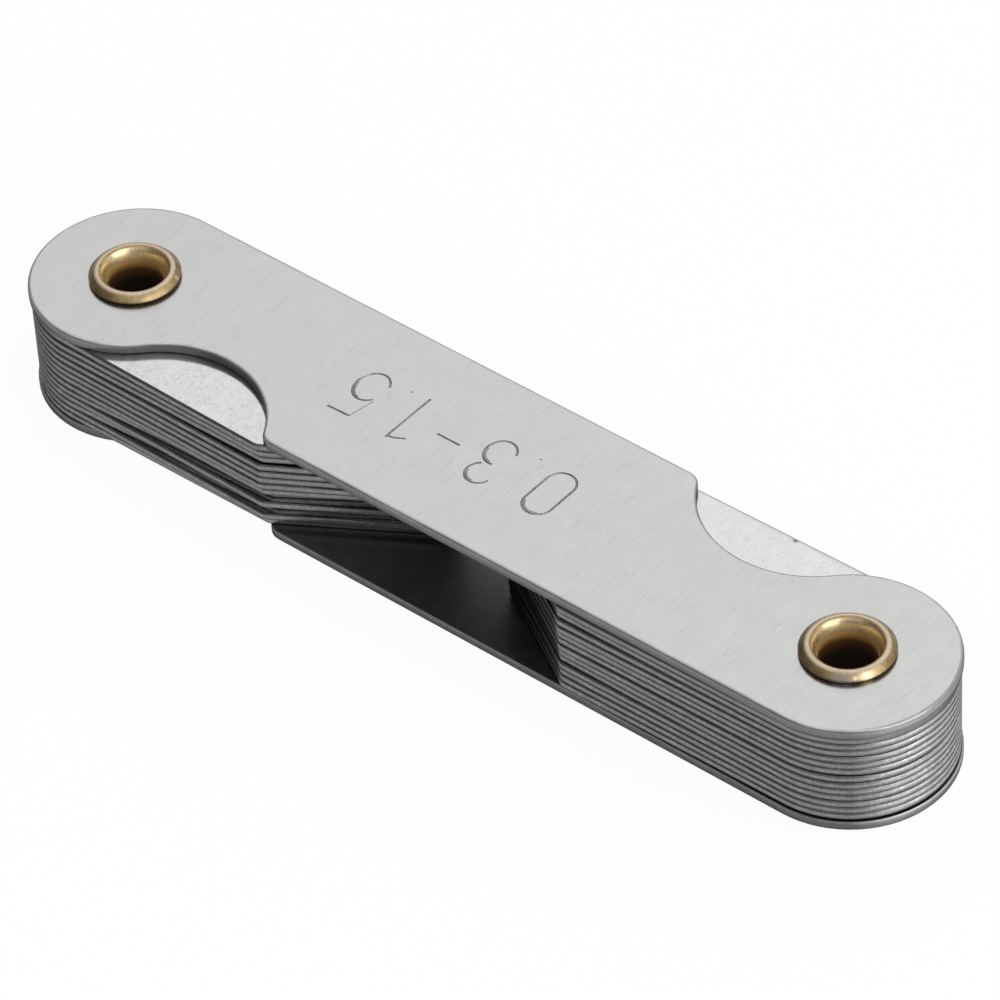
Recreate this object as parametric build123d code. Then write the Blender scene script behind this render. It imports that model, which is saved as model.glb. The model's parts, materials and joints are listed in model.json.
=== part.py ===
from build123d import *

import os
from math import atan2, cos, radians, sin, sqrt, tan

# Pocket radius gauge: two packs of gauge leaves between two cover plates, on hollow eyelets.
# The leaves of the left pack end in a rounded nose, for hollow corners. Those of the right pack
# end in a half round notch, for rounded edges. Each leaf turns freely about its own eyelet. The
# holes of covers and leaves lie a little inside the centres of their round ends.
# Millimetres and degrees, +X along the holder, +Z up, origin on the ground under the middle.

# Holder
pivot_spacing = 59.0
hole_inset = 0.125
cover_width = 14.05
cover_thickness = 0.74
cover_edge_break = 0.2
scallop_radius = 7.5
scallop_floor = 2.6
scallop_corner_radius = 1.2

# Eyelets
bore_radius = 1.9
eyelet_wall = 0.4
flange_seat_width = 0.4
rim_overhang = 0.38
rim_height = 0.2
rim_edge_width = 0.1
lip_width = 0.32
lip_inset = 0.43
lip_height = 0.7
funnel_depth = 0.45
hole_clearance = 0.02

# Gauge leaves
leaf_side_inset = 0.13
leaf_thickness = 0.5
leaf_play = 0.05
taper_angle = 31.0
shoulder_round = 0.8
tip_gap = 1.8
tip_gap_offset = 0.275
notch_land = 0.6
smallest_radius = 0.3
radius_step = 0.1
leaf_count = 13

# Air above each leaf of a pack, from the top cover down, and under the last leaf
tight_gap = 0.012
even_gap = 0.035
loose_gap = 0.072
wide_gap = 0.13
convex_gaps = (
    tight_gap, wide_gap, loose_gap, loose_gap, loose_gap, tight_gap, tight_gap,
    loose_gap, even_gap, tight_gap, tight_gap, even_gap, even_gap, tight_gap,
)
concave_gaps = (
    tight_gap, tight_gap, tight_gap, loose_gap, tight_gap, tight_gap, wide_gap,
    loose_gap, tight_gap, tight_gap, loose_gap, tight_gap, tight_gap, wide_gap,
)

# How far each leaf lies out of line in its closed pack, in degrees, from the top down
convex_rest_angles = (-1.0, -0.3, 0.2, -0.6, -0.6, -0.6, -0.8, -0.1, 1.9, -0.6, 2.2, -0.6, 0.5)
concave_rest_angles = (0.8, 0.5, 1.1, 1.2, 0.9, 0.8, 0.8, 0.4, 0.2, 0.8, 0.5, 0.7, 0.8)


def pack_height(gaps):
    """Height between the covers that one pack of leaves and its air fills."""
    air = sum(gaps[i % len(gaps)] for i in range(leaf_count + 1))
    return leaf_count * leaf_thickness + air


# Places worked out from the sizes above
half_spacing = pivot_spacing / 2
end_centre = half_spacing + hole_inset
end_radius = cover_width / 2
barrel_radius = bore_radius + eyelet_wall
bottom_cover_z = lip_height
cavity_z = bottom_cover_z + cover_thickness
top_cover_z = cavity_z + max(pack_height(convex_gaps), pack_height(concave_gaps))
stack_top_z = top_cover_z + cover_thickness
leaf_half_width = end_radius - leaf_side_inset
convex_reach = half_spacing - tip_gap / 2 - tip_gap_offset
concave_reach = half_spacing - tip_gap / 2 + tip_gap_offset
radii = [smallest_radius + radius_step * i for i in range(leaf_count)]


def rounded(face, corners, radius):
    """The face with the vertices nearest to the given corners rounded."""
    picked = [face.vertices().sort_by_distance(corner)[0] for corner in corners]
    return fillet(picked, radius=radius)


def plate(outline, thickness, hole_radius, hole_places):
    """Flat sheet of an outline, lying on the ground plane, with round holes along X."""
    holes = [Pos(x, 0) * Circle(hole_radius) for x in hole_places]
    return extrude(outline - holes, amount=thickness)


def cover_outline():
    """Round ended plate with a finger scallop near each end, on opposite sides."""
    depth = scallop_floor + scallop_radius
    run = sqrt((end_radius + scallop_radius) ** 2 - depth**2)
    scallop_x = end_centre - run
    share = end_radius / (end_radius + scallop_radius)
    meet = Vector(end_centre - run * share, depth * share)
    corner = Vector(scallop_x - sqrt(scallop_radius**2 - (depth - end_radius) ** 2), end_radius)
    side = [
        ThreePointArc((end_centre, -end_radius), (end_centre + end_radius, 0), meet),
        ThreePointArc(meet, (scallop_x, scallop_floor), corner),
        Line(corner, (-end_centre, end_radius)),
    ]
    outline = make_face(side + [Rot(Z=180) * edge for edge in side])
    return rounded(outline, (corner, -corner), scallop_corner_radius)


def cover():
    """One cover plate, with the sharp edge of its outline taken off above and below."""
    hole_radius = barrel_radius + hole_clearance
    sheet = plate(cover_outline(), cover_thickness, hole_radius, (-half_spacing, half_spacing))
    faces = sheet.faces().sort_by(Axis.Z)
    rims = faces[0].outer_wire().edges() + faces[-1].outer_wire().edges()
    return chamfer(rims, length=cover_edge_break)


def eyelet():
    """Hollow rivet whose two ends are belled out and rolled over the covers."""
    middle = (bottom_cover_z + stack_top_z) / 2
    half_height = stack_top_z - middle
    rim = barrel_radius + flange_seat_width + rim_overhang
    lip = rim - lip_inset
    mouth = lip - lip_width
    funnel_top = lip_height + funnel_depth
    spread = mouth - bore_radius
    funnel_radius = (spread**2 + funnel_top**2) / (2 * spread)
    turn = atan2(funnel_top, funnel_radius - spread)
    halfway = (
        bore_radius + funnel_radius * (1 - cos(turn / 2)),
        half_height - funnel_depth + funnel_radius * sin(turn / 2),
    )
    rim_bottom = half_height + rim_height
    lip_top = half_height + lip_height
    outside = Polyline(
        (bore_radius, half_height - funnel_depth), (bore_radius, 0), (barrel_radius, 0),
        (barrel_radius, half_height), (barrel_radius + flange_seat_width, half_height),
        (rim, rim_bottom), (rim, rim_bottom + rim_edge_width), (lip, lip_top), (mouth, lip_top),
    )
    funnel = ThreePointArc((mouth, lip_top), halfway, (bore_radius, half_height - funnel_depth))
    upper = revolve(Plane.XZ * make_face([outside, funnel]), Axis.Z)
    return Pos(0, 0, middle) * (upper + mirror(upper, Plane.XY))


def leaf_outline(reach, nose):
    """Leaf pointing along +X from its pivot: round end, straight sides, tapered tip.

    The sides of the taper would meet at the reach. The nose is the list of edges that joins
    the lower side of the taper to the upper one, and its first and last points lie on them.
    """
    shoulder = reach - leaf_half_width / tan(radians(taper_angle))
    low, high = (shoulder, -leaf_half_width), (shoulder, leaf_half_width)
    end_low, end_high = (-hole_inset, -leaf_half_width), (-hole_inset, leaf_half_width)
    edges = [
        ThreePointArc(end_high, (-hole_inset - leaf_half_width, 0), end_low),
        Line(end_low, low),
        Line(low, nose[0] @ 0),
        *nose,
        Line(nose[-1] @ 1, high),
        Line(high, end_high),
    ]
    return rounded(make_face(edges), (low, high), shoulder_round)


def convex_nose(radius):
    """Round nose that runs smoothly into both sides of the taper."""
    slope = radians(taper_angle)
    centre = convex_reach - radius / sin(slope)
    touch_x, touch_y = centre + radius * sin(slope), radius * cos(slope)
    return [ThreePointArc((touch_x, -touch_y), (centre + radius, 0), (touch_x, touch_y))]


def concave_nose(radius):
    """Blunt tip with a half round notch between two lands."""
    half_tip = radius + notch_land
    face_x = concave_reach - half_tip / tan(radians(taper_angle))
    return [
        Line((face_x, -half_tip), (face_x, -radius)),
        ThreePointArc((face_x, -radius), (face_x - radius, 0), (face_x, radius)),
        Line((face_x, radius), (face_x, half_tip)),
    ]


def pack(name, outlines, gaps, rest_angles, pivot_x, heading):
    """All leaves of one pack by node name, in place from the top cover down."""
    leaves = {}
    z = cavity_z + pack_height(gaps)
    for i, outline in enumerate(outlines):
        z -= gaps[i % len(gaps)] + leaf_thickness
        angle = heading + rest_angles[i % len(rest_angles)]
        leaf = plate(outline, leaf_thickness, barrel_radius + leaf_play, (0,))
        leaves[f"{name}_leaf_{i + 1:02d}"] = Pos(pivot_x, 0, z) * Rot(Z=angle) * leaf
    return leaves


def build():
    """Every piece of the gauge by node name."""
    convex = [leaf_outline(convex_reach, convex_nose(radius)) for radius in radii]
    concave = [leaf_outline(concave_reach, concave_nose(radius)) for radius in radii]
    return {
        "top_cover": Pos(0, 0, top_cover_z) * cover(),
        "bottom_cover": Pos(0, 0, bottom_cover_z) * cover(),
        "left_eyelet": Pos(-half_spacing, 0, 0) * eyelet(),
        "right_eyelet": Pos(half_spacing, 0, 0) * eyelet(),
        **pack("convex", convex, convex_gaps, convex_rest_angles, -half_spacing, 0),
        **pack("concave", concave, concave_gaps, concave_rest_angles, half_spacing, 180),
    }


os.makedirs("parts", exist_ok=True)
for node, solid in build().items():
    export_step(solid, f"parts/{node}.step")
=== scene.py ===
import json
from math import ceil, cos, pi, radians, sin

import bmesh
import bpy
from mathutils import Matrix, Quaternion, Vector


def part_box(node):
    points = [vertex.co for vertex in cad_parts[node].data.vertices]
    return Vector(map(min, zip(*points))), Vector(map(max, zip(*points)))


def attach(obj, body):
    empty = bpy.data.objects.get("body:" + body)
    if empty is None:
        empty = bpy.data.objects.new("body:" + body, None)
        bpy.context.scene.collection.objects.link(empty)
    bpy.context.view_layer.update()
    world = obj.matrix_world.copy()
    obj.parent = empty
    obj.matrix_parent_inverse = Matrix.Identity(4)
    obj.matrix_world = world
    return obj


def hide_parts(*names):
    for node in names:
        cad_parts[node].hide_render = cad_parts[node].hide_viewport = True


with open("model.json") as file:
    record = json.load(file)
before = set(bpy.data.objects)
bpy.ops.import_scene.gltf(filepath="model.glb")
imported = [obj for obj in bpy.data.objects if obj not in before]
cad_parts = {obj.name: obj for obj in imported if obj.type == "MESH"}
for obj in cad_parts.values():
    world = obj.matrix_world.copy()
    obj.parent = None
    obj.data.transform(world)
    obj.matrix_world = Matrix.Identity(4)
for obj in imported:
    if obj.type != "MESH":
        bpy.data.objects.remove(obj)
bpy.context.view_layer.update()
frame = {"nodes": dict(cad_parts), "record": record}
MM = 0.001

# The camera stands where the photograph was taken from
camera_azimuth = 42.115
camera_elevation = 42.426
camera_roll = -3.527
camera_distance = 409.89 * MM
camera_target = Vector((0.603, 1.090, 5.062)) * MM
camera_lens = 230.44
camera_clip = (0.01, 10.0)
sensor_width = 36.0

# Studio: a white floor, a sky, and lamps. The sky goes from dim to bright as the cosine between a
# direction and its brightest one passes through its range, and is dimmer at the horizon. A lamp has
# its azimuth and elevation in degrees, its distance, width and height in metres, and its radiance.
floor_half = 3.0
floor_tone = 0.9
floor_own_white = 0.95
sky_azimuth, sky_elevation = 160, 50
sky_dim, sky_bright, sky_range = 0.24, 1.08, (-0.1, 0.8)
horizon_share, horizon_rise = 0.35, (0.0, 0.45)
lamps = {
    "lamp_right": (88, 28, 0.9, 0.8, 0.8, 1.8),
    "lamp_front": (25, 45, 0.9, 1.0, 0.9, 0.35),
}

# Rounding of the leaves' edges, how far from the pivot it changes, and how far corners are mitred
leaf_top_round = 0.2 * MM
leaf_low_round = 0.09 * MM
leaf_tip_round = 0.05 * MM
leaf_hole_round = 0.06 * MM
leaf_hole_reach = 3.0 * MM
leaf_taper = (17.0 * MM, 23.0 * MM)
round_steps = 5
mitre_limit = 0.5

# Slanted breaks and rounding of the covers' edges, on the outer side that shows and the inner one
cover_show_break = 0.14 * MM
cover_hidden_break = 0.05 * MM
widest_break = 0.3 * MM
cover_show_round = 0.09 * MM
cover_hidden_round = 0.03 * MM
cover_upper_steps, cover_lower_steps = 3, 2

# Rounding of the eyelets' lips and rims
lip_round = 0.15 * MM
rim_round = 0.045 * MM
lip_steps, rim_steps = 4, 2

# Engraved grooves and fainter hairlines
groove_width = 0.165 * MM
groove_depth = 0.07 * MM
hairline_width = 0.085 * MM
hairline_depth = 0.03 * MM
stroke_step = 0.12 * MM
tube_sides = 12

# Centres and corners of the numbers, in mm, with +X to the right of the writing and +Y up
zero_top, zero_bottom, zero_radii = (-5.81, 1.10), (-5.81, -1.10), (1.05, 1.05)
three_top, three_bottom = (-1.0, 1.17), (-0.89, -1.08)
five_corner, five_bowl = (9.18, 2.0), (9.83, -0.98)
dot_top, dot_bottom = -2.12, -2.2

# A level face has a normal past LEVEL in height, and a wall one that is under STEEP
LEVEL = 0.9995
STEEP = 0.5

# Angles in degrees: edges sharper than these are rounded, or shaded sharp, and faces nearer are one
rounded_angle = 30
shaded_angle = 25
same_face_angle = 0.5

# Points nearer than these are one point, or at one height
same_point = 1e-8
same_height = 1e-7

# Most values of a noise lie between these
NOISE_LOW, NOISE_HIGH = 0.3, 0.7

# Tones up the edge of a sheet, from 0 at its lower face to 1 at its upper one. Besides the sheared
# look they are painted shade, dark in the joints between sheets and at a cover's lower face, and
# painted light, lighter along the middle of a leaf and up a cover's upper rounding. The stops for
# the highlight end hold a painted highlight on the right round end of the holder.
top_cover_stops = (
    (0.0, 0.1), (0.08, 0.13), (0.25, 0.17), (0.5, 0.2), (0.66, 0.2), (0.78, 0.25), (0.88, 0.4),
    (0.96, 0.58), (1.0, 0.6))
highlit_top_cover_stops = (
    (0.0, 0.2), (0.1, 0.24), (0.4, 0.32), (0.52, 0.44), (0.64, 0.46), (0.78, 0.36), (0.9, 0.34),
    (1.0, 0.36))
bottom_cover_stops = (
    (0.0, 0.06), (0.2, 0.1), (0.5, 0.12), (0.75, 0.125), (0.88, 0.19), (1.0, 0.26))
highlit_bottom_cover_stops = (
    (0.0, 0.12), (0.3, 0.2), (0.6, 0.26), (0.8, 0.4), (0.92, 0.5), (1.0, 0.4))
leaf_stops = (
    (0.0, 0.07), (0.1, 0.1), (0.25, 0.18), (0.45, 0.225), (0.62, 0.235), (0.78, 0.19), (0.9, 0.11),
    (1.0, 0.07))
highlit_leaf_stops = (
    (0.0, 0.11), (0.12, 0.16), (0.3, 0.22), (0.45, 0.3), (0.6, 0.54), (0.72, 0.57), (0.86, 0.28),
    (1.0, 0.13))
highlit_first_leaf_stops = ((0.0, 0.14), (0.15, 0.2), (0.6, 0.25), (1.0, 0.3))
groove_stops = ((0.0, 0.27), (1.0, 0.27))

# Where the sheets change their look, in mm. The highlight end, where a painted highlight lies on
# the edges at the right round end, and the shaded stretch, where painted shade darkens the concave
# leaves' edges, are along X, and the far side and the dull strip along Y. upper_part is a share of
# the thickness.
highlight_end = (33.9, 35.7)
shaded_stretch, shaded_fade, shaded_share = (0.3, 12.2), 0.6, 0.45
far_side, upper_part = (4.5, 6.3), (0.5, 0.65)
leaf_nick = ((20.38, 6.53, 8.52), 0.27)
dull_strip, dull_factor = (6.3, 6.75), 0.84
nick_share = 0.8
spot_core = 0.15

# The blue of the steel against its red and green, and the sheen of its sheared edges
steel_blue = 0.99
edge_sheen = (0.3, 0.3, 0.3, 1.0)

# Tones of the brass, from the golden flank and the rubbed lip down into the bore. The funnel and
# throat tones are painted light, the tones under the rim and down the bore painted shade, and the
# bright flank marks painted highlights
brass_golden, brass_brown = (0.39, 0.29, 0.15), (0.27, 0.19, 0.09)
brass_lip = (0.61, 0.5, 0.37)
brass_funnel_lit, brass_throat_lit = (0.75, 0.6, 0.36), (0.62, 0.39, 0.13)
brass_rim_shade = (0.11, 0.08, 0.05)
brass_bore_shade, brass_deep_bore_shade = (0.16, 0.085, 0.03), (0.04, 0.03, 0.02)
brass_bared, brass_highlight, brass_nicked = (0.3, 0.27, 0.24), (0.66, 0.54, 0.36), (0.3, 0.2, 0.12)

# Marks on the upper lips, in mm: X, Y, how far under the top of the lip, and size
bared_marks = ((30.7, -2.62, 0.35, 0.55), (31.2, -2.38, 0.35, 0.55))
# The bright flank marks below are painted highlights
highlight_marks = ((31.6, -2.03, 0.3, 0.2), (-26.85, 1.15, 0.3, 0.24), (32.06, -1.42, 0.35, 0.6))
nicked_marks = ((-27.15, 1.45, 0.05, 0.2),)


def direction(azimuth, elevation):
    """Unit vector from the object towards a place round it. Azimuth 0 is the -Y side."""
    a, e = radians(azimuth), radians(elevation)
    return Vector((sin(a) * cos(e), -cos(a) * cos(e), sin(e)))


def add_object(name, data):
    """A new object in the scene."""
    thing = bpy.data.objects.new(name, data)
    bpy.context.scene.collection.objects.link(thing)
    return thing


def face_along(thing, way):
    """Turns a camera or lamp so that it looks along a direction."""
    thing.rotation_mode = "QUATERNION"
    thing.rotation_quaternion = way.to_track_quat("-Z", "Y")


def make_camera():
    """The photograph's view, with its slight roll."""
    back = direction(camera_azimuth, camera_elevation)
    camera = add_object("camera", bpy.data.cameras.new("camera"))
    camera.data.lens = camera_lens
    camera.data.sensor_width = sensor_width
    camera.data.clip_start, camera.data.clip_end = camera_clip
    camera.location = camera_target + back * camera_distance
    face_along(camera, -back)
    camera.rotation_quaternion @= Quaternion((0, 0, 1), radians(camera_roll))
    bpy.context.scene.camera = camera


class Nodes:
    """Short way to write a shader tree."""

    def __init__(self, tree):
        self.tree = tree
        tree.nodes.clear()

    def add(self, kind, inputs=None, **settings):
        """A node of that kind with its settings. An input is a plain value or another socket."""
        node = self.tree.nodes.new(kind)
        for key, value in settings.items():
            setattr(node, key, value)
        for key, value in (inputs or {}).items():
            if isinstance(value, bpy.types.NodeSocket):
                self.tree.links.new(value, node.inputs[key])
            else:
                node.inputs[key].default_value = value
        return node

    def math(self, operation, *values):
        """A Math node's result."""
        return self.add("ShaderNodeMath", dict(enumerate(values)), operation=operation).outputs[0]

    def times(self, value, *factors):
        """value times all the factors, one after the other."""
        for factor in factors:
            value = self.math("MULTIPLY", value, factor)
        return value

    def without(self, share):
        """The factor that takes a share away."""
        return self.math("SUBTRACT", 1.0, share)

    def split(self, vector):
        """The X, Y and Z of a vector."""
        return self.add("ShaderNodeSeparateXYZ", {0: vector}).outputs

    def spread(self, value, low, high, to_low, to_high):
        """value, taken from the range low to high to another range, and held inside it."""
        inputs = {
            "Value": value, "From Min": low, "From Max": high, "To Min": to_low, "To Max": to_high}
        return self.add("ShaderNodeMapRange", inputs).outputs[0]

    def rise(self, value, low, high):
        """0 below the range, 1 above it, and straight between."""
        return self.spread(value, low, high, 0.0, 1.0)

    def fall(self, value, low, high):
        """1 below the range, 0 above it, and straight between."""
        return self.spread(value, low, high, 1.0, 0.0)

    def follow(self, noise, low, high):
        """A number that goes from low to high with the usual values of a noise."""
        return self.spread(noise, NOISE_LOW, NOISE_HIGH, low, high)

    def ramp(self, value, stops):
        """A tone that runs straight between stops, each a value from 0 to 1 and its tone."""
        node = self.add("ShaderNodeValToRGB", {0: value})
        marks = node.color_ramp.elements
        marks.remove(marks[-1])
        for i, (at, tone) in enumerate(stops):
            mark = marks.new(at) if i else marks[0]
            mark.position = at
            mark.color = (tone, tone, tone, 1.0)
        return node.outputs["Color"]

    def noise(self, place, scale, detail=3.0, rough=0.55, offset=0.0):
        """Noise between 0 and 1. scale gives how often it changes along X, Y and Z, for each mm."""
        per_metre = [s / MM for s in scale]
        inputs = {"Vector": place, "Scale": per_metre, "Location": (offset, offset, offset)}
        mapped = self.add("ShaderNodeMapping", inputs).outputs[0]
        texture = {"Vector": mapped, "Scale": 1.0, "Detail": detail, "Roughness": rough}
        return self.add("ShaderNodeTexNoise", texture).outputs[0]

    def blend(self, factor, one, two):
        """A colour that goes from the first to the second as the factor goes from 0 to 1."""
        one, two = (c if isinstance(c, bpy.types.NodeSocket) else (*c, 1.0) for c in (one, two))
        inputs = {"Factor": factor, "A": one, "B": two}
        return self.add("ShaderNodeMix", inputs, data_type="RGBA").outputs["Result"]

    def tint(self, color, factor):
        """color times a factor that varies over the surface."""
        scaled = {"Vector": color, "Scale": factor}
        return self.add("ShaderNodeVectorMath", scaled, operation="SCALE").outputs[0]

    def spot(self, place, center, size):
        """1 near a place on the object and 0 past the size, both in mm."""
        ends = {0: place, 1: Vector(center) * MM}
        away = self.add("ShaderNodeVectorMath", ends, operation="DISTANCE").outputs["Value"]
        return self.fall(away, size * spot_core * MM, size * MM)

    def marks(self, place, top, spots):
        """1 at any of the marks on the upper lips and 0 away from them. top is in mm."""
        shown = 0.0
        for x, y, drop, size in spots:
            shown = self.math("MAXIMUM", shown, self.spot(place, (x, y, top - drop), size))
        return shown

    def bump(self, height, strength, depth):
        """A normal for fine relief of that depth in mm."""
        inputs = {"Height": height, "Strength": strength, "Distance": depth * MM}
        return self.add("ShaderNodeBump", inputs).outputs[0]

    def close(self, shader):
        """Joins the shader to the output."""
        self.add("ShaderNodeOutputMaterial", {"Surface": shader.outputs[0]})


def new_material(name):
    """An empty node material, and the writer of its tree."""
    material = bpy.data.materials.new(name)
    material.use_nodes = True
    return material, Nodes(material.node_tree)


def sheet_steel(name, tone, roughness, streak, mottle, fleck, vein=0.0, nicks=(), dull=None):
    """Face of a ground steel sheet: short brush marks along Y, soft patches, flecks and fine veins.

    It grows a little duller from the first to the second place along Y in dull, in mm.
    """
    material, n = new_material(name)
    place = n.add("ShaderNodeTexCoord").outputs["Object"]
    lines = n.noise(place, (4.6, 0.5, 1.0), detail=2.0, rough=0.6)
    lights = n.noise(place, (4.2, 0.45, 1.0), detail=2.0, rough=0.6, offset=4.0)
    patches = n.noise(place, (0.55, 0.45, 1.0), detail=3.0, offset=9.0)
    grains = n.noise(place, (2.6, 2.2, 1.0), detail=2.0, offset=2.0)
    flecks = n.noise(place, (6.0, 4.5, 1.0), detail=2.0, rough=0.6, offset=6.0)
    value = n.times(
        n.spread(lines, 0.57, 0.7, 1.0, 1.0 - streak),
        n.spread(lights, 0.58, 0.72, 1.0, 1.0 + streak / 2),
        n.follow(patches, 1.0 - mottle, 1.0 + mottle),
        n.follow(grains, 1.0 - mottle, 1.0 + mottle),
        n.spread(flecks, 0.64, 0.72, 1.0, 1.0 - fleck))
    if vein:
        for scale, offset in ((1.4, 7.0), (2.6, 11.0)):
            size = (scale, scale * 0.8, 1.0)
            bend = n.noise(place, size, detail=3.0, rough=0.65, offset=offset)
            ridge = n.math("ABSOLUTE", n.math("SUBTRACT", bend, 0.5))
            where = n.noise(place, (1.2, 1.5, 1.0), detail=2.0, offset=offset + 1.5)
            line = n.times(n.fall(ridge, 0.003, 0.018), n.spread(where, 0.44, 0.6, 0.0, vein))
            value = n.times(value, n.without(line))
    for center, size in nicks:
        value = n.times(value, n.without(n.times(n.spot(place, center, size), nick_share)))
    if dull:
        y = n.split(place)[1]
        value = n.times(value, n.spread(y, dull[0] * MM, dull[1] * MM, 1.0, dull_factor))
    n.close(n.add("ShaderNodeBsdfPrincipled", {
        "Base Color": n.tint((tone, tone, tone * steel_blue), value),
        "Roughness": n.follow(grains, roughness * 0.9, roughness * 1.1), "Metallic": 1.0}))
    return material


def sheared_steel(
        name, stops, roughness, change, fleck=0.0, highlight_stops=(), stretch_shaded=False, far_tone=None):
    """Edge of a stamped sheet, with tones from its lower to its upper face that paint its light and
    shade, and streaks along it.

    The highlight tones, a painted highlight, take over at the right round end of the holder. An
    edge with the shaded stretch is darker along it, as painted shade. The far tone takes over on
    the upper part of the far side.
    """
    material, n = new_material(name)
    coords = n.add("ShaderNodeTexCoord")
    place = coords.outputs["Object"]
    across = n.split(place)
    level = n.split(coords.outputs["Generated"])[2]
    drift = n.noise(place, (0.3, 0.3, 1.9), detail=2.0, offset=5.0)
    height = n.math("ADD", level, n.follow(drift, -0.06, 0.06))
    # The stops paint light and shade up the edge: painted shade in the joints, painted light along
    # the middle and up the rounding
    tone = n.ramp(height, stops)
    # Painted highlight: lighter tones up the edge at the right round end of the holder
    if highlight_stops:
        highlight_share = n.rise(across[0], highlight_end[0] * MM, highlight_end[1] * MM)
        tone = n.blend(highlight_share, tone, n.ramp(height, highlight_stops))
    if far_tone:
        beyond = n.rise(across[1], far_side[0] * MM, far_side[1] * MM)
        far = n.times(beyond, n.rise(level, *upper_part))
        tone = n.blend(far, tone, (far_tone, far_tone, far_tone))
    streaks = n.noise(place, (0.9, 0.9, 8.0), detail=4.0, rough=0.7)
    shear = n.noise(place, (6.0, 6.0, 1.2), detail=3.0, rough=0.6, offset=8.0)
    value = n.times(
        n.spread(streaks, 0.25, 0.75, 1.0 - change, 1.0 + change),
        n.follow(shear, 1.0 - change / 2, 1.0 + change / 2))
    if fleck:
        flecks = n.noise(place, (3.6, 3.6, 9.0), detail=3.0, rough=0.65, offset=3.0)
        value = n.times(value, n.spread(flecks, 0.56, 0.7, 1.0, 1.0 + fleck))
    # Painted shade: the concave leaves' edges are darkened along this stretch of X, towards their
    # tips in the hollow between the covers
    if stretch_shaded:
        first, last = shaded_stretch
        start = n.spread(across[0], first * MM, (first + shaded_fade) * MM, 0.0, shaded_share)
        end = n.fall(across[0], (last - shaded_fade) * MM, last * MM)
        value = n.times(value, n.without(n.times(start, end)))
    n.close(n.add("ShaderNodeBsdfPrincipled", {
        "Base Color": n.tint(tone, value), "Roughness": roughness, "Metallic": 1.0,
        "Specular Tint": edge_sheen, "Normal": n.bump(streaks, 0.3, 0.008)}))
    return material


def rubbed_brass(name):
    """Rolled brass: golden and rubbed pale on the lip, lighter in the funnel and throat as painted
    light, dark brown under the rim and dark down the bore as painted shade, with painted highlights
    on the flanks.

    depth is how far a place lies under the top of the lip, and radius how far from the axis, in mm.
    """
    material, n = new_material(name)
    place = n.add("ShaderNodeTexCoord").outputs["Object"]
    across = n.split(place)
    low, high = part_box("right_eyelet")
    from_axis = n.math("SUBTRACT", n.math("ABSOLUTE", across[0]), (low.x + high.x) / 2)
    reach = n.math("ADD", n.math("POWER", from_axis, 2.0), n.math("POWER", across[1], 2.0))
    radius = n.math("DIVIDE", n.math("SQRT", reach), MM)
    from_middle = n.math("ABSOLUTE", n.math("SUBTRACT", across[2], (low.z + high.z) / 2))
    depth = n.math("DIVIDE", n.math("SUBTRACT", (high.z - low.z) / 2, from_middle), MM)
    patches = n.noise(place, (1.3, 1.3, 1.3), detail=3.0, rough=0.6)
    specks = n.noise(place, (5.0, 5.0, 5.0), detail=2.0, rough=0.6, offset=3.0)
    top = high.z / MM
    color = brass_golden
    for share, tone in (
        (n.rise(patches, 0.38, 0.66), brass_brown),
        (n.times(n.fall(depth, 0.02, 0.1), n.rise(radius, 2.36, 2.44)), brass_lip),
        # Painted light: the funnel and throat are made lighter than the flank to stand in for light
        # inside
        (n.times(n.rise(depth, 0.06, 0.2), n.fall(radius, 2.38, 2.44)), brass_funnel_lit),
        (n.rise(depth, 0.7, 1.15), brass_throat_lit),
        # Painted shade under the rim and, below, down the bore
        (n.times(n.rise(depth, 0.42, 0.52), n.rise(radius, 2.42, 2.5)), brass_rim_shade),
        (n.rise(depth, 1.15, 1.65), brass_bore_shade),
        (n.rise(depth, 1.65, 2.6), brass_deep_bore_shade),
        (n.marks(place, top, bared_marks), brass_bared),
        # Painted highlights on the flanks
        (n.marks(place, top, highlight_marks), brass_highlight),
        (n.marks(place, top, nicked_marks), brass_nicked),
    ):
        color = n.blend(share, color, tone)
    rough = n.math("ADD", n.follow(specks, 0.22, 0.34), n.spread(depth, 0.3, 1.1, 0.0, 0.5))
    n.close(n.add("ShaderNodeBsdfPrincipled", {
        "Base Color": n.tint(color, n.follow(specks, 0.9, 1.08)), "Roughness": rough,
        "Metallic": 1.0, "Normal": n.bump(specks, 0.25, 0.006)}))
    return material


def make_floor():
    """Large white floor that keeps a soft shadow."""
    corners = [(-floor_half, -floor_half, 0), (floor_half, -floor_half, 0),
               (floor_half, floor_half, 0), (-floor_half, floor_half, 0)]
    mesh = bpy.data.meshes.new("floor")
    mesh.from_pydata(corners, [], [(0, 1, 2, 3)])
    floor = add_object("floor", mesh)
    material, n = new_material("floor_white")
    path = n.add("ShaderNodeLightPath")
    seen = n.math("MAXIMUM", path.outputs["Is Camera Ray"], path.outputs["Is Glossy Ray"])
    seen = n.math("MAXIMUM", seen, path.outputs["Is Transmission Ray"])
    lit = n.add("ShaderNodeBsdfDiffuse", {"Color": (floor_tone, floor_tone, floor_tone, 1)})
    white = n.add("ShaderNodeEmission", {"Color": (1, 1, 1, 1), "Strength": 1.0})
    share = n.times(seen, floor_own_white)
    n.close(n.add("ShaderNodeMixShader", {0: share, 1: lit.outputs[0], 2: white.outputs[0]}))
    mesh.materials.append(material)


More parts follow.
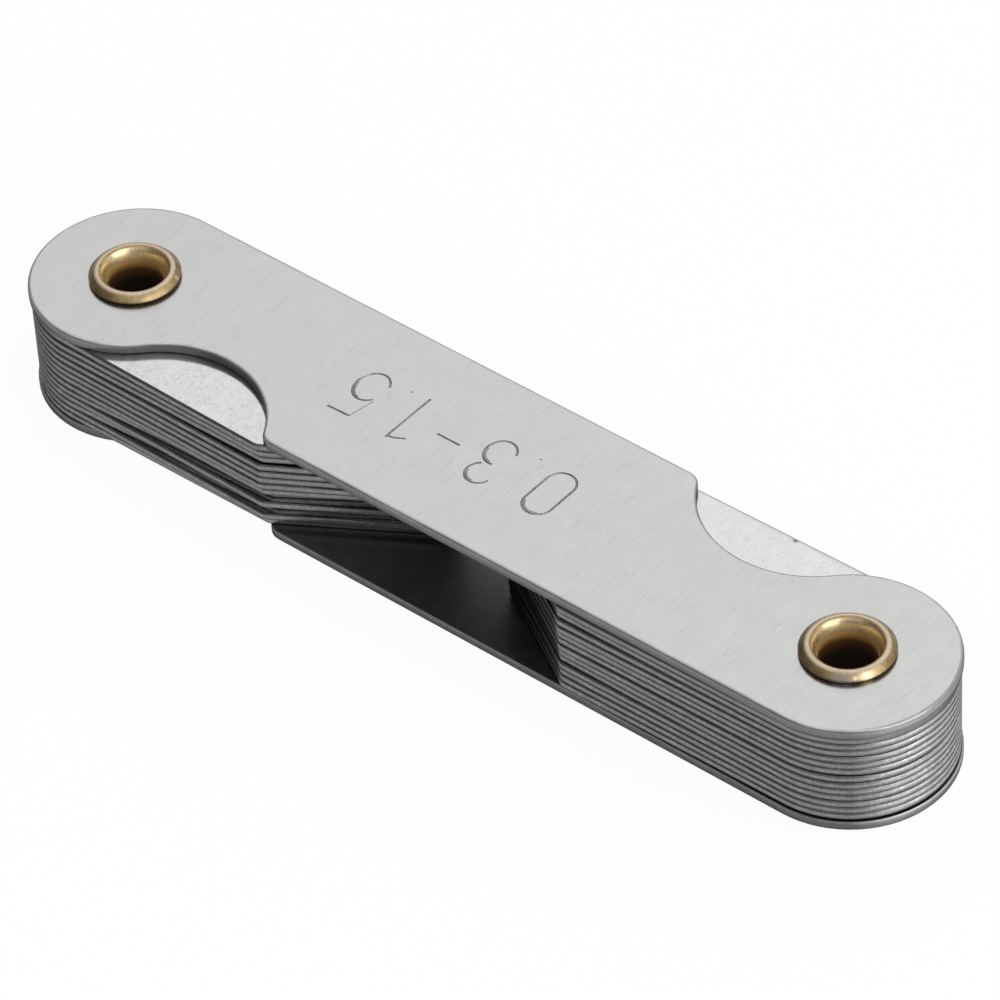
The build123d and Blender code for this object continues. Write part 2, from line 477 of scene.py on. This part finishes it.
def make_lights():
    """A room bright above and behind, with a strong lamp at the right and a weak one in front."""
    world = bpy.data.worlds.new("studio")
    bpy.context.scene.world = world
    world.use_nodes = True
    n = Nodes(world.node_tree)
    looking = n.add("ShaderNodeTexCoord").outputs["Generated"]
    ends = {0: looking, 1: direction(sky_azimuth, sky_elevation)}
    towards = n.add("ShaderNodeVectorMath", ends, operation="DOT_PRODUCT").outputs["Value"]
    low_sky = n.spread(n.split(looking)[2], *horizon_rise, horizon_share, 1.0)
    strength = n.times(n.spread(towards, *sky_range, sky_dim, sky_bright), low_sky)
    sky = n.add("ShaderNodeBackground", {"Color": (1, 1, 1, 1), "Strength": strength})
    n.add("ShaderNodeOutputWorld", {"Surface": sky.outputs[0]})
    for name, (azimuth, elevation, distance, width, height, radiance) in lamps.items():
        light = bpy.data.lights.new(name, "AREA")
        light.shape = "RECTANGLE"
        light.size, light.size_y = width, height
        light.energy = radiance * pi * width * height
        lamp = add_object(name, light)
        out = direction(azimuth, elevation)
        lamp.location = out * distance
        face_along(lamp, -out)


def clean_copy(node):
    """The node's shape as an editable mesh, with its flat faces whole again."""
    shape = bmesh.new()
    shape.from_mesh(frame["nodes"][node].data)
    bmesh.ops.remove_doubles(shape, verts=shape.verts, dist=same_point)
    bmesh.ops.dissolve_limit(
        shape, angle_limit=radians(same_face_angle), verts=shape.verts, edges=shape.edges)
    shape.normal_update()
    return shape


def narrow_break(shape, face_z, width):
    """Narrows the slanted break round a face of a cover. Its outer edge moves towards the face."""
    moves = []
    for corner in [v for v in shape.verts if abs(v.co.z - face_z) < same_height]:
        outers = [v for v in (e.other_vert(corner) for e in corner.link_edges)
                  if same_height < abs(v.co.z - face_z) < widest_break]
        if outers:
            outer = min(outers, key=lambda v: (v.co - corner.co).length)
            rise = corner.co.z - outer.co.z
            place = outer.co.xy.lerp(corner.co.xy, width / abs(rise))
            moves.append((corner, place, outer, width if rise > 0 else -width))
    for corner, place, outer, drop in moves:
        corner.co.xy = place
        outer.co.z = face_z - drop


def round_edges(shape, width, segments, above=None, below=None):
    """Rounds the sharp edges of a shape, all of them or those above or below a height."""
    edges = [e for e in shape.edges
             if e.is_manifold and e.calc_face_angle() > radians(rounded_angle)]
    if above is not None:
        edges = [e for e in edges if min(v.co.z for v in e.verts) > above]
    if below is not None:
        edges = [e for e in edges if max(v.co.z for v in e.verts) < below]
    bmesh.ops.bevel(
        shape, geom=edges, offset=width, offset_type="OFFSET", segments=segments, profile=0.5,
        affect="EDGES", clamp_overlap=True)
    shape.normal_update()


def shade(shape):
    """Level faces are shaded flat and the rest smooth, up to the sharp edges."""
    for face in shape.faces:
        face.smooth = abs(face.normal.z) < LEVEL
    for edge in shape.edges:
        edge.smooth = edge.is_manifold and edge.calc_face_angle() < radians(shaded_angle)


def facing(up, down, side):
    """Picks the place in a piece's list of materials for a face that looks up, down or sideways."""
    return lambda face: up if face.normal.z > LEVEL else down if face.normal.z < -LEVEL else side


def finish_piece(name, shape, node, materials, pick):
    """Makes the piece that shows in place of a node, with a material picked for each face."""
    for face in shape.faces:
        face.material_index = pick(face)
    shade(shape)
    mesh = bpy.data.meshes.new(name)
    shape.to_mesh(mesh)
    shape.free()
    for material in materials:
        mesh.materials.append(material)
    piece = add_object(name, mesh)
    bodies = frame["record"]["behaviour"]["bodies"]
    body = next(b for b, members in bodies.items() if node in members)
    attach(piece, body)
    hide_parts(node)
    return piece


def leaf_rounding(place, pivot_x, wide):
    """Rounding of a leaf's edge at a place: wide at the sides, small at the tip and in the hole."""
    reach = (place.xy - Vector((pivot_x, 0))).length
    if reach < leaf_hole_reach:
        return min(wide, leaf_hole_round)
    share = min(1.0, max(0.0, (reach - leaf_taper[0]) / (leaf_taper[1] - leaf_taper[0])))
    return wide + (min(wide, leaf_tip_round) - wide) * share


def round_leaf(shape, low_z, high_z, pivot_x):
    """Turns the square edges of a leaf into quarter rounds, by building its side walls again."""
    walls = [f for f in shape.faces if abs(f.normal.z) < STEEP]
    uppers = dict.fromkeys(v for f in walls for v in f.verts if abs(v.co.z - high_z) < same_height)
    chains = {}
    for upper in uppers:
        sides = [f for f in upper.link_faces if abs(f.normal.z) < STEEP]
        lower = min((v for f in sides for v in f.verts if abs(v.co.z - low_z) < same_height),
                    key=lambda v: (v.co.xy - upper.co.xy).length)
        out = (sides[0].normal + sides[-1].normal).normalized()
        out = out / max(mitre_limit, out.dot(sides[0].normal))
        place = upper.co.copy()
        chain = [lower]
        for wide, end, way, turns in (
            (leaf_low_round, lower, 1, range(1, round_steps + 1)),
            (leaf_top_round, upper, -1, range(round_steps, 0, -1)),
        ):
            wide = leaf_rounding(place, pivot_x, wide)
            end_z = low_z if way > 0 else high_z
            for i in turns:
                turn = radians(90 * i / round_steps)
                inset, rise = wide * (1 - sin(turn)), wide * (1 - cos(turn))
                level = Vector((place.x, place.y, end_z + way * rise))
                chain.append(shape.verts.new(level - out * inset))
            end.co.xy = place.xy - out.xy * wide
        chains[upper] = chain + [upper]
    pairs = [[v for v in wall.verts if v in chains] for wall in walls]
    bmesh.ops.delete(shape, geom=walls, context="FACES_ONLY")
    for one, two in pairs:
        for k in range(len(chains[one]) - 1):
            a, b = chains[one][k], chains[two][k]
            c, d = chains[two][k + 1], chains[one][k + 1]
            shape.faces.new((a, b, c, d))
    bmesh.ops.recalc_face_normals(shape, faces=shape.faces)
    shape.normal_update()


def make_leaves(convex_materials, concave_materials, first_materials):
    """Every gauge leaf, with its edges rolled over: more above than below."""
    for node in [name for name in frame["nodes"] if "_leaf_" in name]:
        low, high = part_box(node)
        convex = node.startswith("convex")
        materials = convex_materials if convex else concave_materials
        if node == "concave_leaf_01":
            materials = first_materials
        pin_low, pin_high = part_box("left_eyelet" if convex else "right_eyelet")
        shape = clean_copy(node)
        round_leaf(shape, low.z, high.z, (pin_low.x + pin_high.x) / 2)
        pick = facing(up=0, down=0, side=1)
        finish_piece("steel_" + node, shape, node, materials, pick)


def cover_shape(node, up_break, down_break, up_round, down_round):
    """A cover plate with the break and the rounding of its upper and lower edges as they look."""
    low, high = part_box(node)
    middle = (low.z + high.z) / 2
    shape = clean_copy(node)
    narrow_break(shape, high.z, up_break)
    narrow_break(shape, low.z, down_break)
    shape.normal_update()
    round_edges(shape, up_round, cover_upper_steps, above=middle)
    round_edges(shape, down_round, cover_lower_steps, below=middle)
    return shape


def make_bottom_cover(materials):
    """The lower cover plate. Its inner face takes a dark copy of the cover steel, painted shade."""
    shape = cover_shape(
        "bottom_cover", cover_hidden_break, cover_show_break, cover_hidden_round, cover_show_round)
    pick = facing(up=2, down=0, side=1)
    finish_piece("lower_cover_plate", shape, "bottom_cover", materials, pick)


def arc(center, radii, start, end):
    """Points along an elliptical arc, in mm, between two angles in degrees."""
    sweep = radians(end - start)
    steps = max(2, ceil(abs(sweep) * max(radii) * MM / stroke_step))
    angles = [radians(start) + sweep * i / steps for i in range(steps + 1)]
    return [(center[0] + radii[0] * cos(a), center[1] + radii[1] * sin(a)) for a in angles]


def groove_strokes():
    """Centre lines of the numbers, in mm."""
    zero = arc(zero_top, zero_radii, 0, 180) + arc(zero_bottom, zero_radii, 180, 360)
    return [
        zero + zero[:1],
        arc(three_top, (0.93, 0.97), 166, -58),
        arc(three_bottom, (1.04, 1.18), 104, -162),
        [(1.66, -0.08), (3.50, -0.08)],
        [(6.0, -2.35), (6.0, 2.14)],
        [(5.94, 1.98), (5.50, 1.88), (4.82, 1.50)],
        [five_corner, (10.96, 2.08)],
        arc(five_bowl, (1.11, 1.39), 142, -153),
        [(-3.34, dot_top), (-3.34, dot_bottom)],
        [(7.42, dot_top), (7.42, dot_bottom)],
    ]


def hairline_strokes():
    """Faint lines: the upright of the five, and what the graver left inside the bowls."""
    return [
        [five_corner, (8.84, 0.04)],
        arc(zero_top, (0.89, 0.89), 15, 125),
        arc(three_top, (0.78, 0.82), 10, 95),
        arc(three_bottom, (0.89, 1.02), 5, 90),
        arc(five_bowl, (0.96, 1.24), 5, 85),
    ]


def stroke_tube(shape, points, surface_z, width, depth):
    """Adds a closed tube along a stroke, sunk in to cut a groove of that width and depth."""
    radius = (width**2 / 4 + depth**2) / (2 * depth)
    height = surface_z + radius - depth
    up = Vector((0, 0, 1))
    line = [Vector((-x * MM, -y * MM, height)) for x, y in points]
    closed = (line[0] - line[-1]).length < same_point
    if closed:
        line = line[:-1]
    rings = []
    for i, point in enumerate(line):
        before = line[i - 1] if i or closed else point
        after = line[(i + 1) % len(line)] if i + 1 < len(line) or closed else point
        across = (after - before).normalized().cross(up)
        turns = [2 * pi * (j + 0.5) / tube_sides for j in range(tube_sides)]
        rings.append([
            shape.verts.new(point + across * (radius * cos(turn)) + up * (radius * sin(turn)))
            for turn in turns])
    pairs = list(zip(rings, rings[1:])) + ([(rings[-1], rings[0])] if closed else [])
    for one, two in pairs:
        for j in range(tube_sides):
            k = (j + 1) % tube_sides
            shape.faces.new((one[j], one[k], two[k], two[j]))
    if not closed:
        shape.faces.new(rings[0][::-1])
        shape.faces.new(rings[-1])


def make_graver(materials):
    """The shape of all grooves together, which takes the last of the materials."""
    surface_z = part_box("top_cover")[1].z
    tubes = bmesh.new()
    for points in groove_strokes():
        stroke_tube(tubes, points, surface_z, groove_width, groove_depth)
    for points in hairline_strokes():
        stroke_tube(tubes, points, surface_z, hairline_width, hairline_depth)
    bmesh.ops.recalc_face_normals(tubes, faces=tubes.faces)
    for face in tubes.faces:
        face.material_index = len(materials) - 1
    mesh = bpy.data.meshes.new("graver")
    tubes.to_mesh(mesh)
    tubes.free()
    for material in materials:
        mesh.materials.append(material)
    return add_object("graver", mesh)


def engrave(piece, graver):
    """Cuts the graver's shape out of a piece."""
    cut = piece.modifiers.new("engrave", "BOOLEAN")
    cut.operation, cut.solver, cut.object = "DIFFERENCE", "EXACT", graver
    cut.use_self = True
    bpy.context.view_layer.update()
    evaluated = piece.evaluated_get(bpy.context.evaluated_depsgraph_get())
    engraved = bpy.data.meshes.new_from_object(evaluated)
    piece.modifiers.clear()
    piece.data = engraved
    bpy.data.objects.remove(graver)
    shape = bmesh.new()
    shape.from_mesh(engraved)
    shade(shape)
    shape.to_mesh(engraved)
    shape.free()


def make_top_cover(materials):
    """The upper cover plate, with the numbers of its range engraved as round-bottomed grooves."""
    shape = cover_shape(
        "top_cover", cover_show_break, cover_hidden_break, cover_show_round, cover_hidden_round)
    pick = facing(up=0, down=2, side=1)
    piece = finish_piece("upper_cover_plate", shape, "top_cover", materials, pick)
    engrave(piece, make_graver(materials))


def make_eyelets(brass):
    """The two hollow rivets, with round lips and a small break on their rims."""
    for node in ("left_eyelet", "right_eyelet"):
        low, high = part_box(node)
        shape = clean_copy(node)
        round_edges(shape, lip_round, lip_steps, above=high.z - lip_round)
        round_edges(shape, lip_round, lip_steps, below=low.z + lip_round)
        round_edges(shape, rim_round, rim_steps)
        finish_piece("brass_" + node, shape, node, [brass], lambda face: 0)


make_camera()
make_floor()
make_lights()
cover_face = sheet_steel(
    "cover_face", tone=0.605, roughness=0.26, streak=0.075, mottle=0.02, fleck=0.06)
# Painted shade: a dark copy of the cover steel for the inner faces, which lie in the shade between
# the plates
cover_inner_shade = sheet_steel(
    "cover_inner_shade", tone=0.22, roughness=0.36, streak=0.05, mottle=0.05, fleck=0.05)
convex_face = sheet_steel(
    "convex_leaf_face", tone=0.72, roughness=0.15, streak=0.08, mottle=0.03, fleck=0.35, vein=0.3)
concave_face = sheet_steel(
    "concave_leaf_face", tone=0.73, roughness=0.15, streak=0.05, mottle=0.015, fleck=0.2,
    vein=0.16, nicks=(leaf_nick,), dull=dull_strip)
top_cover_edge = sheared_steel(
    "top_cover_edge", top_cover_stops, roughness=0.34, change=0.12,
    highlight_stops=highlit_top_cover_stops)
bottom_cover_edge = sheared_steel(
    "bottom_cover_edge", bottom_cover_stops, roughness=0.34, change=0.14,
    highlight_stops=highlit_bottom_cover_stops)
convex_edge = sheared_steel(
    "convex_leaf_edge", leaf_stops, roughness=0.32, change=0.24, fleck=0.7)
concave_edge = sheared_steel(
    "concave_leaf_edge", leaf_stops, roughness=0.32, change=0.24, fleck=0.7,
    highlight_stops=highlit_leaf_stops, stretch_shaded=True)
graved_steel = sheared_steel("graved_steel", groove_stops, roughness=0.3, change=0.6)
first_edge = sheared_steel(
    "first_leaf_edge", leaf_stops, roughness=0.32, change=0.14, fleck=0.2,
    highlight_stops=highlit_first_leaf_stops, stretch_shaded=True, far_tone=0.5)
make_leaves([convex_face, convex_edge], [concave_face, concave_edge], [concave_face, first_edge])
make_bottom_cover([cover_face, bottom_cover_edge, cover_inner_shade])
make_top_cover([cover_face, top_cover_edge, cover_inner_shade, graved_steel])
make_eyelets(rubbed_brass("brass"))

scene = bpy.context.scene
scene.view_settings.view_transform = "Standard"
